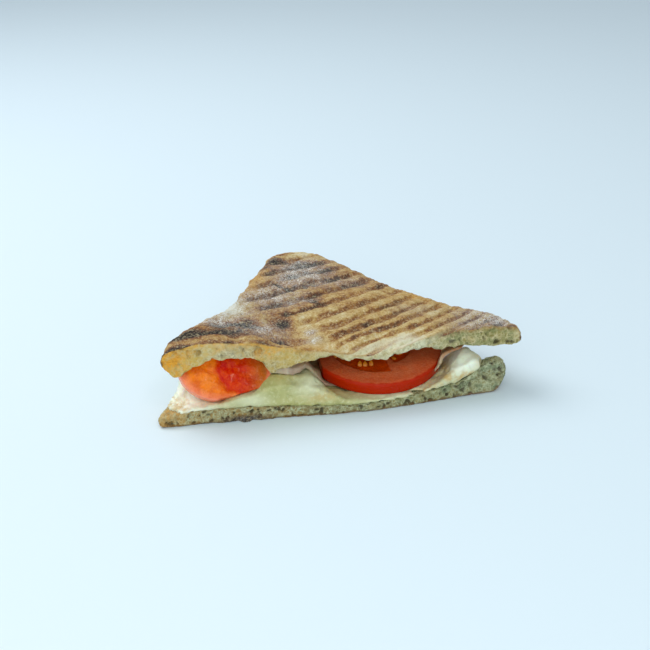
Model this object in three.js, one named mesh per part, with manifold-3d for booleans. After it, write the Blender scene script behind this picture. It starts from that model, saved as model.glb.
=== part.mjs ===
// A pressed and grilled cheese sandwich, cut to a wedge: two thin slices of flat bread with melted
// cheese, a sheet of ham and two slices of tomato between them. The cut side faces -Y, the tip
// points to +Y and the lower slice rests on Z = 0. All lengths are in millimetres.
import * as THREE from "three";
import { mergeVertices } from "three/addons/utils/BufferGeometryUtils.js";
import Module from "manifold-3d";

const wasm = await Module();
wasm.setup();

// Driving dimensions. x runs along the cut from its middle, y runs back from the cut, z up.
const depth = 150; // from the cut to the tip
const gap = 0.35; // left between pieces that touch
const crust = { height: 37, thickness: 9.5, shoulder: 8 };
// Depth of a grill mark, its width as a share of the pitch, and how far the marks slid over the
// sandwich for each millimetre that the crust is higher.
const grill = { depth: 2.3, width: 0.21, slideX: 0.5, slideY: 2.5 };
const blister = { x: 6, y: 96, size: 13, height: 1.6 };
const base = { height: 7.5, shoulder: 6 };
const tomatoDisc = { x: 33, y: 30, z: 21.5, radius: 36, thickness: 7, tilt: 14, wall: 9.5, end: -31.5 };
const tomatoHeel = { x: -44.5, y: -3, z: 10.5, length: 24, width: 18, thickness: 8, tilt: 56, wall: 8 };
const ham = { thickness: 1.6, fold: 3.2, wave: 0.9, back: 98, insetLeft: 44, insetRight: 17 };

// Edges of each layer in plan, as x at y, from the cut to the tip.
const topLeft = [
  [0, -82], [16, -77], [29, -68], [39, -59], [51, -49.5], [68, -39], [84, -30], [108, -19],
  [128, -9.5], [141, -5], [150, 2],
];
const topRight = [
  [0, 104], [10, 101.5], [22, 97], [31, 91], [40, 82], [49, 75], [63, 65], [83, 53], [104, 43],
  [128, 33], [140, 27], [150, 19],
];
const baseLeft = [[0, -85], [5, -85], [24, -74], [37, -68], [65, -48], [92, -32], [115, -20], [150, 0]];
const baseRight = [[0, 93], [4, 98], [14, 91], [30, 77], [50, 62], [85, 44], [115, 29], [150, 14]];

// Heights along the cut, as z at x.
const crumbEdge = [
  [-82, 31], [-75, 29.5], [-70, 31], [-63, 35], [-53, 32.5], [-46, 34], [-32, 32.5], [-26, 30.5],
  [-14, 31.5], [-8, 32], [2, 29.5], [14, 27.3], [23, 26.2], [28, 25.4], [33, 27], [37, 28.6],
  [54, 28.4], [63, 27], [71, 27], [80, 24.2], [89, 26], [104, 23.4],
];
const cheeseEdge = [
  [-85, 6], [-70, 8.5], [-58, 9.6], [-45, 13], [-35, 17.5], [-26, 21.2], [-14, 23.5], [-4, 18],
  [4, 11], [20, 6.5], [36, 8], [50, 10], [60, 14], [70, 18.5], [77, 21.5], [83, 19],
];

// Left limit of the marked crust, as x at y.
const markStart = [[0, 8], [20, 2], [40, -10], [55, -25], [85, -30], [110, -24], [150, -8]];

// The grill marks lie where this sum of share * x^i * y^j, in tenths of a metre, is a whole number.
const marks = [
  [1.719, 0, 0], [-5.102, 1, 0], [6.585, 0, 1], [-1.298, 2, 0], [5.42, 1, 1], [-0.656, 0, 2],
  [-0.592, 3, 0], [0.457, 2, 1], [-2.566, 1, 2], [0.435, 0, 3],
];

const bump = (a, b = 0) => Math.exp(-a * a - b * b);
const lerp = THREE.MathUtils.lerp;
const smoothstep = THREE.MathUtils.smoothstep;
const radians = THREE.MathUtils.degToRad;

// Value at t of the line through points [t, value].
function along(points, t) {
  const i = Math.max(1, points.findIndex((p) => p[0] >= t));
  const [a, b] = t > points.at(-1)[0] ? points.slice(-2) : [points[i - 1], points[i]];
  return lerp(a[1], b[1], THREE.MathUtils.clamp((t - a[0]) / (b[0] - a[0]), 0, 1));
}

// Slow unevenness between -1 and 1, with bumps about `size` across.
function uneven(x, y, size, seed) {
  const k = 6.28 / size;
  const first = Math.sin(k * x + seed) * Math.cos(k * 0.8 * y + 2 * seed);
  const second = Math.sin(k * 0.53 * (x + y) + 3 * seed) * Math.sin(k * 0.71 * (y - 0.4 * x) + seed);
  return 0.6 * first + 0.4 * second;
}

// Height of the upper crust, before the grill marks.
function crustHeight(x, y) {
  const leftTomato = 6 * bump((x + 58) / 32, (y - 4) / 34);
  const rightTomato = 2.5 * bump((x - 30) / 34, (y - 40) / 30);
  const droop = 8 * bump((x - 23) / 28, (y + 2) / 12);
  const dent = 4.5 * bump((x + 14) / 14, (y - 18) / 14);
  const corner = 2 * bump((x - 106) / 10, y / 22);
  const tip = 1.5 * bump((y - depth) / 20);
  const fall = 0.035 * Math.max(x, 0) * smoothstep(y, 20, 90);
  const rightEdge = 3 * smoothstep(x, 30, 90) * smoothstep(y, 0, 40);
  return crust.height + leftTomato + rightTomato - droop - dent - corner - tip - fall - rightEdge;
}

// How far the grill's bars reach into the crust at a point: 1 on a bar's centre, 0 between bars.
function bar(x, y) {
  const above = crustHeight(x, y) - 36;
  const [u, v] = [(x + grill.slideX * above) / 100, (y + grill.slideY * above) / 100];
  const turns = marks.reduce((sum, [share, i, j]) => sum + share * u ** i * v ** j, 0);
  return bump((turns - Math.round(turns)) / grill.width);
}

// Underside of the upper slice: the crumb line seen at the cut, an even thickness further in.
function crumbHeight(x, y) {
  const inside = crustHeight(x, y) - crust.thickness;
  return lerp(along(crumbEdge, x), inside, smoothstep(y, 1, 14));
}

// Upper side of the lower slice: pressed thin in the middle, curled up at the right corner.
function baseHeight(x, y) {
  const pressed = 3.2 * bump((x - 20) / 46, y / 34);
  const curl = 11.5 * bump((x - 90) / 15, (y - 2) / 15);
  const leftTip = 2.5 * bump((x + 86) / 9, (y - 2) / 12);
  return base.height - pressed + curl - leftTip + 0.5 * uneven(x, y, 34, 1.3);
}

// Underside of the tomato disc, as a plane.
function discUnderside(y) {
  const slope = Math.tan(radians(tomatoDisc.tilt));
  return tomatoDisc.z + (y - tomatoDisc.y) * slope - tomatoDisc.thickness * 1.04;
}

// How far a point lies inside the disc's outline, from 0 outside to 1 well inside.
function underDisc(x, y) {
  const away = Math.hypot(x - tomatoDisc.x, y - tomatoDisc.y);
  return 1 - smoothstep(away, tomatoDisc.radius - 2, tomatoDisc.radius + 7);
}

// Room for the ham above the cheese: full where the ham lies, none out at the sides.
function hamRoom(x, y) {
  const fromLeft = smoothstep(x - along(baseLeft, y), ham.insetLeft - 12, ham.insetLeft - 2);
  const fromRight = smoothstep(along(baseRight, y) - x, ham.insetRight - 8, ham.insetRight - 2);
  const fromEnds = smoothstep(y, 4, 10) * smoothstep(ham.back + 8 - y, 0, 6);
  return (ham.thickness + ham.wave + 3 * gap) * fromLeft * fromRight * fromEnds;
}

// Upper side of the melted cheese, which fills the space below the tomato disc, ham and bread.
function cheeseHeight(x, y) {
  const inside = crumbHeight(x, y) - hamRoom(x, y) - gap;
  const free = lerp(along(cheeseEdge, x), inside, smoothstep(y, 6, 48));
  const filled = Math.max(baseHeight(x, y) + 1.2, discUnderside(y) - gap - hamRoom(x, y));
  return lerp(free, filled, underDisc(x, y));
}

// Roundness of an edge: 0 on the edge, 1 from `width` inwards.
function shoulder(distance, width) {
  const t = THREE.MathUtils.clamp(distance / width, 0, 1);
  return Math.pow(1 - Math.pow(1 - t, 2.4), 1 / 2.4);
}

// A closed body from equal loops of points, one behind the other. Each loop starts at its left end
// and has `low` points below, up to its right end, before it returns above. Squares are split along
// the same diagonal above and below, so a thin sheet keeps its thickness where it twists.
function loft(loops, low) {
  const n = loops[0].length;
  const index = [];
  for (let row = 0; row + 1 < loops.length; row++)
    for (let i = 0; i < n; i++) {
      const a = row * n + i;
      const b = row * n + ((i + 1) % n);
      if (i <= low) index.push(a, a + n, b + n, a, b + n, b);
      else index.push(a, a + n, b, b, a + n, b + n);
    }
  const below = Array.from({ length: low + 2 }, (_, i) => i);
  const above = [0, ...Array.from({ length: n - low - 1 }, (_, i) => n - 1 - i)];
  const cap = (row, turn) => {
    const push = (...corners) => {
      if (new Set(corners).size < 3) return;
      index.push(...(turn ? corners.reverse() : corners).map((i) => row * n + i));
    };
    const x = (i) => loops[row][i][0];
    let [i, j] = [0, 0];
    while (i < below.length - 1 || j < above.length - 1) {
      const lower = j === above.length - 1 || (i < below.length - 1 && x(below[i + 1]) <= x(above[j + 1]));
      push(below[i], lower ? below[++i] : above[j + 1], above[j]);
      if (!lower) j++;
    }
  };
  cap(0, false);
  cap(loops.length - 1, true);
  return new THREE.BufferGeometry()
    .setAttribute("position", new THREE.Float32BufferAttribute(loops.flat(2), 3))
    .setIndex(index);
}

// Fractions across a row, from edge to edge, closer together in both rounded edges.
function columns(count, edge) {
  const steps = [0.06, 0.3, 0.65];
  const left = steps.map((s) => s * edge);
  const middle = Array.from({ length: count + 1 }, (_, i) => lerp(edge, 1 - edge, i / count));
  return [...left, ...middle, ...left.map((s) => 1 - s).reverse()];
}

// A layer of the sandwich between an upper and a lower surface. `front` bends its front edge in y,
// and `grow` makes it larger all round.
function layer(shape, grow = 0) {
  const { left, right, top, under, front, rows, upper, lower, rounding, roundFront = 0, back = depth } = shape;
  const loops = [];
  const first = roundFront ? 0.05 : 0;
  for (let row = 0; row <= rows; row++) {
    const share = lerp(first, 1, row / rows);
    const y0 = share * back - (roundFront ? first * back - 0.5 : 0);
    const shift = grow * (2 * share - 1);
    const [xl, xr] = [along(left, y0) - grow, along(right, y0) + grow];
    const edge = Math.min(0.3, rounding / (xr - xl));
    const point = (u, side) => {
      const x = lerp(xl, xr, u);
      const y = y0 + shift + front(x) * (1 - smoothstep(y0, 0, 30));
      const inward = Math.min(u, 1 - u) * (xr - xl);
      let round = shoulder(inward, rounding) * shoulder(back + 0.4 - y0, rounding);
      if (roundFront) round *= shoulder(y0 + 0.1, roundFront);
      const [high, low] = [top(x, y0, inward) + grow, under(x, y0, inward) - grow];
      const middle = lerp(low, high, 0.45);
      return [x, y, side ? lerp(middle, side > 0 ? high : low, round) : middle];
    };
    const over = columns(upper, edge).map((u) => point(u, 1));
    const below = columns(lower, edge).map((u) => point(u, -1));
    loops.push([point(0, 0), ...below, point(1, 0), ...over.reverse()]);
  }
  return loft(loops, lower + 7);
}

function solid(geometry) {
  const plain = geometry.clone();
  for (const name of Object.keys(plain.attributes)) if (name !== "position") plain.deleteAttribute(name);
  const merged = mergeVertices(plain, 1e-4);
  const vertProperties = Float32Array.from(merged.attributes.position.array);
  const triVerts = Uint32Array.from(merged.index.array);
  return new wasm.Manifold(new wasm.Mesh({ numProp: 3, vertProperties, triVerts }));
}

function geometryOf(made) {
  const { vertProperties, triVerts } = made.getMesh();
  return new THREE.BufferGeometry()
    .setAttribute("position", new THREE.BufferAttribute(vertProperties, 3))
    .setIndex(new THREE.BufferAttribute(triVerts, 1));
}

// Keeps the largest body where a cut leaves scraps.
function largest(made) {
  const body = (from) => from.decompose().sort((a, b) => b.volume() - a.volume())[0];
  return body(solid(geometryOf(body(made.simplify(0.02)))));
}

// Seeded random numbers from 0 to 1.
function randomFrom(seed) {
  let state = seed;
  return () => {
    state = (state * 1664525 + 1013904223) % 4294967296;
    return state / 4294967296;
  };
}

// Open pores of the crumb in a cut face, as blunt low bubbles between two heights.
function pores({ count, from, to, low, high, size, front, seed }) {
  const random = randomFrom(seed);
  let all = null;
  for (let i = 0; i < count; i++) {
    const x = lerp(from, to, (i + 0.15 + 0.7 * random()) / count);
    const [floor, roof] = [low(x, 0), high(x, 0)];
    const radius = Math.min(size * lerp(0.6, 1.3, random()), 0.28 * (roof - floor));
    const z = lerp(floor + 1.5 * radius, roof - 1.5 * radius, random());
    const bubble = new THREE.IcosahedronGeometry(radius, 0);
    bubble.scale(lerp(1.1, 1.9, random()), 1.1, 1).rotateY(radians(lerp(-25, 25, random())));
    bubble.translate(x, front(x) - 0.1, z);
    all = all ? all.add(solid(bubble)) : solid(bubble);
  }
  return all;
}

// Half space removed from a slice: everything beyond a line that passes through (x, y) in its plane.
function beyond(x, y, turn) {
  const size = 120;
  const block = new THREE.BoxGeometry(size, size, 40).translate(0, size / 2, 0);
  return solid(block.rotateZ(radians(turn)).translate(x, y, 0));
}

// A slice across a tomato with its upper face at z = 0: a wall of flesh, and seed chambers let into
// the face. `long` and `wide` are its half axes.
function tomatoSlice({ long, wide, thickness, wall, chambers, turned }, grow = 0) {
  const ring = 40;
  const points = Array.from({ length: ring }, (_, i) => {
    const turn = (i / ring) * 2 * Math.PI;
    const r = 1 + 0.012 * Math.cos(3 * turn + 1) + 0.008 * Math.sin(5 * turn);
    return new THREE.Vector2((long * r + grow) * Math.cos(turn), (wide * r + grow) * Math.sin(turn));
  });
  const bevel = 0.9;
  const body = new THREE.ExtrudeGeometry(new THREE.Shape(points), {
    depth: thickness + 2 * grow - 2 * bevel,
    bevelThickness: bevel,
    bevelSize: bevel,
    bevelOffset: -bevel,
    bevelSegments: 2,
  });
  let slice = solid(body.translate(0, 0, bevel - thickness - grow));
  if (grow) return slice;
  const [inner, outer] = [0.24 * wide, wide - wall];
  for (let i = 0; i < chambers; i++) {
    const turn = ((i + turned) / chambers) * 2 * Math.PI;
    const half = 2.75 / chambers;
    const chamber = new THREE.Shape();
    chamber.absarc(0, 0, outer, turn - half * 0.8, turn + half * 0.8, false);
    chamber.absarc(0, 0, inner, turn + half * 0.4, turn - half * 0.4, true);
    const recess = new THREE.ExtrudeGeometry(chamber, { depth: 4, bevelEnabled: false, curveSegments: 5 });
    slice = slice.subtract(solid(recess.translate(0, 0, -1.3).scale(long / wide, 1, 1)));
    for (const [at, side] of [[0.45, 0.12], [0.7, -0.25], [0.84, 0.22]]) {
      const r = lerp(inner, outer, at);
      const seed = new THREE.IcosahedronGeometry(1.3, 0).scale(1.3, 0.8, 0.55).rotateZ(turn + side);
      seed.translate(r * Math.cos(turn + side) * (long / wide), r * Math.sin(turn + side), -1.2);
      slice = slice.add(solid(seed));
    }
  }
  return slice;
}

// The round slice, blunt at its left end.
function discSlice(grow = 0) {
  const { radius, end } = tomatoDisc;
  const whole = tomatoSlice({ ...tomatoDisc, long: radius, wide: radius, chambers: 5, turned: 0.55 }, grow);
  return whole.subtract(beyond(end - grow, 0, 90));
}

// The oval slice stands on a straight edge, cut along the sandwich's cut, and its top is tucked
// away under the upper slice.
function heelSlice(grow = 0) {
  const { length, width } = tomatoHeel;
  const whole = tomatoSlice({ ...tomatoHeel, long: length, wide: width, chambers: 3, turned: 0.3 }, grow);
  const moved = solid(geometryOf(whole).translate(-4.5, 20, 0));
  return moved.subtract(beyond(-12, 2.7 - grow, 180 + 23)).subtract(beyond(0, 25 + grow, 0));
}

// Where a slice lies: at its centre, turned in its plane and then tilted towards the cut.
function placeOf({ x, y, z, tilt }) {
  const turn = new THREE.Quaternion().setFromEuler(new THREE.Euler(radians(tilt), 0, 0));
  return new THREE.Matrix4().compose(new THREE.Vector3(x, y, z), turn, new THREE.Vector3(1, 1, 1));
}
const discSpace = solid(geometryOf(discSlice(gap)).applyMatrix4(placeOf(tomatoDisc)));
const heelSpace = solid(geometryOf(heelSlice(gap)).applyMatrix4(placeOf(tomatoHeel)));

const cutBulge = (x) => -7 * bump((x - 20) / 48);
const lipBulge = (x) => -5 * bump((x - 22) / 26) + 0.7 * uneven(x, 0, 21, 2.2);

// Edges of the cheese and the ham in plan, set in from the lower slice's.
const inset = (edge, by) => edge.map(([y, x]) => [y, x + by]);

// The ham's front edge comes out to the cut on both sides of the disc and stays back behind it.
function hamFront(x) {
  return 10 - 9.5 * bump((x + 20) / 10) - 8 * bump((x - 64) / 9) + uneven(x, 3, 17, 2.5);
}

// The grilled crust: marks where the bars pressed, a blister, and lumps left of the marks.
function pressed(x, y, inward) {
  const firm = smoothstep(inward, 2, 9) * smoothstep(depth - y, 2, 9) * (0.85 + 0.15 * uneven(x, y, 40, 5));
  const marked = smoothstep(x - along(markStart, y), -4, 3);
  const raised = bump((x - blister.x) / blister.size, (y - blister.y) / blister.size);
  const mark = grill.depth * bar(x, y) * firm * marked * (1 - 0.6 * raised);
  const lumps = uneven(x, y, 23, 0.7) * lerp(1.3, 0.5, marked);
  return crustHeight(x, y) - mark + lumps + blister.height * raised;
}

// The lower slice lies flat, apart from the corner that curls up.
const restingSide = (x, y) => Math.max(0, 5 * bump((x - 104) / 10, (y - 4) / 20) - 0.3);

const wave = (x, y) => ham.wave * (0.5 + 0.5 * uneven(x, y, 19, 3.3));
const hamLie = (x, y) => {
  const atFront = y + hamFront(x) * (1 - smoothstep(y, 0, 30));
  return cheeseHeight(x, Math.max(atFront, 0)) + 1.6 * gap + wave(x, y);
};

const hamTop = (x, y) => hamLie(x, y) + ham.thickness + ham.fold * bump((x + 20) / 9, y / 9);

// The four layers, from below.
const shapes = {
  lower: {
    left: baseLeft, right: baseRight, top: baseHeight, under: restingSide, front: cutBulge,
    rows: 28, upper: 9, lower: 8, rounding: base.shoulder,
  },
  cheese: {
    left: inset(baseLeft, 2.5), right: inset(baseRight, -12), top: cheeseHeight,
    under: (x, y) => baseHeight(x, y) - 2, front: (x) => cutBulge(x) + 0.8 * uneven(x, 0, 24, 1),
    rows: 22, upper: 16, lower: 8, rounding: 4, roundFront: 4, back: 144,
  },
  ham: {
    left: inset(baseLeft, ham.insetLeft), right: inset(baseRight, -ham.insetRight),
    top: hamTop, under: hamLie, front: hamFront, rows: 15, upper: 11, lower: 11, rounding: 1.2, back: ham.back,
  },
  upper: {
    left: topLeft, right: topRight, top: pressed, under: crumbHeight, front: lipBulge,
    rows: 54, upper: 23, lower: 7, rounding: crust.shoulder,
  },
};

// A layer with the room of other layers and of both tomato slices taken out of it.
function fitted(name, others) {
  let made = solid(layer(shapes[name]));
  for (const other of others) made = made.subtract(solid(layer(shapes[other], gap)));
  return largest(made.subtract(discSpace).subtract(heelSpace));
}

function upperSlice() {
  const leftPores = pores({
    count: 9, from: -76, to: -30, low: crumbHeight, high: crustHeight, size: 1.6, front: lipBulge, seed: 3,
  });
  const rightPores = pores({
    count: 8, from: 60, to: 99, low: crumbHeight, high: crustHeight, size: 1.7, front: lipBulge, seed: 8,
  });
  return largest(fitted("upper", ["cheese", "ham"]).subtract(leftPores).subtract(rightPores));
}

function lowerSlice() {
  const under = () => 0;
  const longPores = pores({
    count: 22, from: -76, to: 66, low: under, high: baseHeight, size: 1.2, front: cutBulge, seed: 5,
  });
  const cornerPores = pores({
    count: 9, from: 68, to: 92, low: under, high: baseHeight, size: 2.6, front: cutBulge, seed: 21,
  });
  return largest(fitted("lower", []).subtract(longPores).subtract(cornerPores));
}

function matte(color, roughness) {
  return new THREE.MeshStandardMaterial({ color, roughness, metalness: 0 });
}

function piece(name, made, material) {
  const mesh = new THREE.Mesh(geometryOf(made), material);
  mesh.name = name;
  return mesh;
}

const sandwich = new THREE.Group();
sandwich.add(piece("bread_top", upperSlice(), matte(0xb98a5a, 0.85)));
sandwich.add(piece("bread_bottom", lowerSlice(), matte(0xd8c79a, 0.9)));
sandwich.add(piece("cheese", fitted("cheese", ["lower"]), matte(0xe9e0b4, 0.4)));
sandwich.add(piece("ham", fitted("ham", ["lower", "cheese"]), matte(0xc89a92, 0.5)));

const disc = piece("tomato_right", discSlice(), matte(0xc8321a, 0.3));
placeOf(tomatoDisc).decompose(disc.position, disc.quaternion, disc.scale);
sandwich.add(disc);
const heel = piece("tomato_left", heelSlice(), matte(0xe04a18, 0.3));
placeOf(tomatoHeel).decompose(heel.position, heel.quaternion, heel.scale);
sandwich.add(heel);

// The origin is the bottom centre of the whole.
const middle = new THREE.Box3().setFromObject(sandwich).getCenter(new THREE.Vector3());
sandwich.position.set(-middle.x, -middle.y, 0);
export default sandwich;
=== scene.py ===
# %% [markdown]
# # A pressed and grilled sandwich, cut to a wedge
# Two thin slices of flat bread hold melted cheese, a sheet of ham and two slices of tomato.
# The exact shapes were modelled elsewhere and come in as a frame. This lesson dresses them:
# it turns plain solids into toasted crust, open crumb, soft cheese and wet tomato.

# %% Load the frame
import math

import bpy
import numpy as np
from mathutils import Matrix, Vector, kdtree, noise


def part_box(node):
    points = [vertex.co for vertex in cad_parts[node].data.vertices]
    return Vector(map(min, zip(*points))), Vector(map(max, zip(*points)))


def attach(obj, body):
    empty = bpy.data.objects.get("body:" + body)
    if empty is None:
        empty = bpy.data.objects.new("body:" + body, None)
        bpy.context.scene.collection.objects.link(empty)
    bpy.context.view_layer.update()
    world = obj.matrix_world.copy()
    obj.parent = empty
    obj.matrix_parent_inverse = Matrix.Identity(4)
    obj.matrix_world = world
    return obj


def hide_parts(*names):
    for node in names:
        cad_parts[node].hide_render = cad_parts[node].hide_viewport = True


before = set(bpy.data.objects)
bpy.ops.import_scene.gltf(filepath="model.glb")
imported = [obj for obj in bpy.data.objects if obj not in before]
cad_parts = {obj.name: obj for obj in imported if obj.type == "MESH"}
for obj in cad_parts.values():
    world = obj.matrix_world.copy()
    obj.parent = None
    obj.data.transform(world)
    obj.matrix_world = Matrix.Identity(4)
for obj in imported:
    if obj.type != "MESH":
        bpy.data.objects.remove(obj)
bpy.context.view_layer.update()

print("nodes:", sorted(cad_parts))

# %% [markdown]
# ## Measuring from the middle of the cut
# Every feature of this sandwich is easiest to say as "so far along the cut, so far back from it,
# so high". The frame's origin is the middle of the box instead, so two known places, the left
# end of the lower slice and its far tip, give the shift between the two.

# %% Millimetres from the middle of the cut
left_end, far_tip = -85.0, 150.0
low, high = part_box("bread_bottom")
shift = np.array([left_end - low.x * 1000, far_tip - high.y * 1000, 0.0])


def in_metres(x, y, z):
    return (Vector((x, y, z)) - Vector(shift)) / 1000


print("shift in mm:", shift.round(2))

# %% [markdown]
# A mesh is a long list of places. Numpy reads them all at once, which is far quicker than one
# vertex at a time. One helper gives them in millimetres from the middle of the cut, one writes
# them back, and one says which way the skin faces at each of them.

# %% Reading and moving a mesh


def places(piece):
    flat = np.empty(len(piece.data.vertices) * 3)
    piece.data.vertices.foreach_get("co", flat)
    return flat.reshape(-1, 3) * 1000 + shift


def set_places(piece, points):
    piece.data.vertices.foreach_set("co", ((points - shift) / 1000).ravel())
    piece.data.update()


def facing(piece):
    flat = np.empty(len(piece.data.vertices) * 3)
    piece.data.vertices.foreach_get("normal", flat)
    return flat.reshape(-1, 3)


print("front of the cheese node in mm:", round(places(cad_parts["cheese"])[:, 1].min(), 1))

# %% [markdown]
# ## Working on one object at a time
# Operators act on everything that is selected, and the frame arrives selected. So each step
# first lets go of everything and then picks up one piece. A modifier is applied at once,
# as a modeller would do before going on to the next one.

# %% Selecting and applying


def let_go():
    if bpy.context.object and bpy.context.object.mode != "OBJECT":
        bpy.ops.object.mode_set(mode="OBJECT")
    bpy.ops.object.select_all(action="DESELECT")


def pick_up(piece):
    let_go()
    piece.select_set(True)
    bpy.context.view_layer.objects.active = piece


def apply_modifier(piece, kind, **settings):
    pick_up(piece)
    modifier = piece.modifiers.new(kind.title(), kind)
    for name, value in settings.items():
        setattr(modifier, name, value)
    bpy.ops.object.modifier_apply(modifier=modifier.name)


# %% [markdown]
# ## A new skin for a copy
# A solid from the frame has long thin triangles, and they can't hold a pore or a flake. So each
# piece starts as a copy with its doubled corners merged. The Remesh modifier then lays a skin of
# small even squares over it, and some rounds of smoothing take off the steps that this leaves.
# Drawing new faces by hand would do as well, but it would be far slower for a lumpy shape.

# %% Copy, merge and remesh


def copy_of_node(node, name):
    piece = bpy.data.objects.new(name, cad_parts[node].data.copy())
    bpy.context.scene.collection.objects.link(piece)
    piece.data.name = name
    piece.data.materials.clear()
    pick_up(piece)
    bpy.ops.object.mode_set(mode="EDIT")
    bpy.ops.mesh.select_all(action="SELECT")
    bpy.ops.mesh.remove_doubles(threshold=1e-6)
    bpy.ops.object.mode_set(mode="OBJECT")
    return piece


def even_skin(piece, square, smoothing):
    apply_modifier(piece, "REMESH", mode="VOXEL", voxel_size=square / 1000)
    apply_modifier(piece, "SMOOTH", factor=0.5, iterations=smoothing)
    bpy.ops.object.shade_smooth()
    print(piece.name, "has", len(piece.data.polygons), "faces")


# %% [markdown]
# ## Unevenness
# Food is never even. Four helpers describe that: a gentle step from 0 to 1, a round bump that
# fades with distance, soft lumps of noise, and pores, which are round hollows of mixed sizes
# around the middles of random cells. Every size is in millimetres.

# %% Steps, bumps, lumps and pores


def step(value, low, high):
    t = np.clip((value - low) / (high - low), 0, 1)
    return t * t * (3 - 2 * t)


def bump(a, b=0.0):
    return np.exp(-a * a - b * b)


def lumps(points, size, seed):
    offset = Vector((seed, 2 * seed, 3 * seed))
    return np.array([noise.noise(Vector(p) + offset) for p in points / size])


def pores(points, size, seed, share):
    offset = Vector((seed, 1.7 * seed, 0.6 * seed))
    depth = np.empty(len(points))
    warp = [lumps(points, 0.8 * size, seed + 5 * k) for k in range(3)]
    for i, p in enumerate(points / size + 0.35 * np.column_stack(warp)):
        near, at = noise.voronoi(Vector(p) + offset)
        radius = share * (0.45 + 0.75 * abs(noise.cell(at[0] * 7.3)))
        depth[i] = max(0.0, 1 - (near[0] / radius) ** 2)
    return depth


print("a step, a quarter of the way up:", step(0.25, 0, 1).round(3))

# %% [markdown]
# ## Masks
# A mask says how much of something a place has, such as flour. It is stored on the mesh as an
# attribute, like a weight painted by hand, and the materials read it back later. Most masks are
# soft oval blobs. Each blob has a middle, two half widths and a strength.

# %% Blobs, distances and stored masks


def blobs(a, b, spots):
    total = np.zeros(len(a))
    for middle_a, middle_b, half_a, half_b, strength in spots:
        total += strength * bump((a - middle_a) / half_a, (b - middle_b) / half_b)
    return total


def distance_to(points, chosen):
    tree = kdtree.KDTree(int(chosen.sum()))
    for i, p in enumerate(points[chosen]):
        tree.insert(p, i)
    tree.balance()
    return np.array([tree.find(p)[2] for p in points])


def store(piece, **masks):
    for name, values in masks.items():
        attribute = piece.data.attributes.new(name, "FLOAT", "POINT")
        attribute.data.foreach_set("value", np.ascontiguousarray(values, dtype=np.float32))
    print(piece.name, "got", len(masks), "masks")


# %% [markdown]
# ## Where the grill pressed
# A ridged press leaves a fan of sunken, darker bars. The frame's crust already has them, and the
# same formula is repeated here, because colour has to lie exactly in the hollows. The bars are
# the places where a smooth sum of powers of x and y passes a whole number. The sum was measured
# on a level plane 36 mm up, so a place above or below that plane is first moved onto it.

# %% The crust's height and the bars
bar_powers = [
    (1.719, 0, 0), (-5.102, 1, 0), (6.585, 0, 1), (-1.298, 2, 0), (5.42, 1, 1),
    (-0.656, 0, 2), (-0.592, 3, 0), (0.457, 2, 1), (-2.566, 1, 2), (0.435, 0, 3),
]
bar_width = 0.21


def crust_height(x, y):
    left_tomato = 6 * bump((x + 58) / 32, (y - 4) / 34)
    right_tomato = 2.5 * bump((x - 30) / 34, (y - 40) / 30)
    droop = 8 * bump((x - 23) / 28, (y + 2) / 12)
    dent = 4.5 * bump((x + 14) / 14, (y - 18) / 14)
    corner = 2 * bump((x - 106) / 10, y / 22)
    tip = 1.5 * bump((y - far_tip) / 20)
    fall = 0.035 * np.maximum(x, 0) * step(y, 20, 90)
    right_edge = 3 * step(x, 30, 90) * step(y, 0, 40)
    return 37 + left_tomato + right_tomato - droop - dent - corner - tip - fall - right_edge


def grill_bars(x, y):
    above = crust_height(x, y) - 36
    u, v = (x + 0.5 * above) / 100, (y + 2.5 * above) / 100
    turns = sum(share * u**i * v**j for share, i, j in bar_powers)
    return bump((turns - np.round(turns)) / bar_width)


print("crust height at the middle of the cut:", crust_height(np.zeros(1), np.zeros(1)).round(1))

# %% [markdown]
# ## The upper slice
# The real slice is baked flat bread: a dry, floured, toasted crust over a spongy crumb that
# shows where the knife went through. It could be sculpted from a block, but its outline and
# grill marks are already exact in the frame. So a copy of that solid gets the new skin, fine
# enough to carry pores, blisters and a torn lip. Crumb is what faces the front at the cut, or
# faces down. All the rest is crust.

# %% Upper slice: crust or crumb
upper_slice = copy_of_node("bread_top", "upper_slice")
even_skin(upper_slice, 0.67, 9)
points, normals = places(upper_slice), facing(upper_slice)
x, y, z = points.T
lip_front = -5 * bump((x - 22) / 26)
cut_face = step(-normals[:, 1], 0.3, 0.65) * step(lip_front + 6 - y, 0, 3)
beneath = step(-normals[:, 2], 0.45, 0.8)
crumb = np.maximum(cut_face, beneath)
crust = 1 - crumb
print("share of crumb:", crumb.mean().round(2))

# %% [markdown]
# The bars don't start at the left edge, and they fade near the outer rim, where the press lifted.
# Their strength wanders, and their edges are ragged.

# %% Upper slice: bars
bars_begin = ([0, 20, 40, 55, 85, 110, 150], [8, 2, -10, -25, -30, -24, -8])
marked = step(x - np.interp(y, *bars_begin), -4, 3)
outer_wall = (np.abs(normals[:, 2]) < 0.5) & (cut_face < 0.2)
near_rim = bump(distance_to(points * [1, 1, 0], outer_wall) / 5)
faint = blobs(x, y, [(6, 98, 12, 12, 0.5), (60, 45, 10, 10, 0.3)])
firm = 0.8 + 0.6 * lumps(points, 14, 17) - faint
pressed = grill_bars(x, y)
bars = step(pressed + 0.35 * lumps(points, 4, 15), 0.05, 0.6) * marked * step(normals[:, 2], 0.35, 0.7)
groove = step(pressed, 0.15, 0.85) * bars
print("share of the slice in bars:", bars.mean().round(2))

# %% [markdown]
# The relief comes in layers, from large to small: dents where the crust sank in, a blister with
# a cracked rim, and flakes all over, rougher at the left and at the tip.

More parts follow.
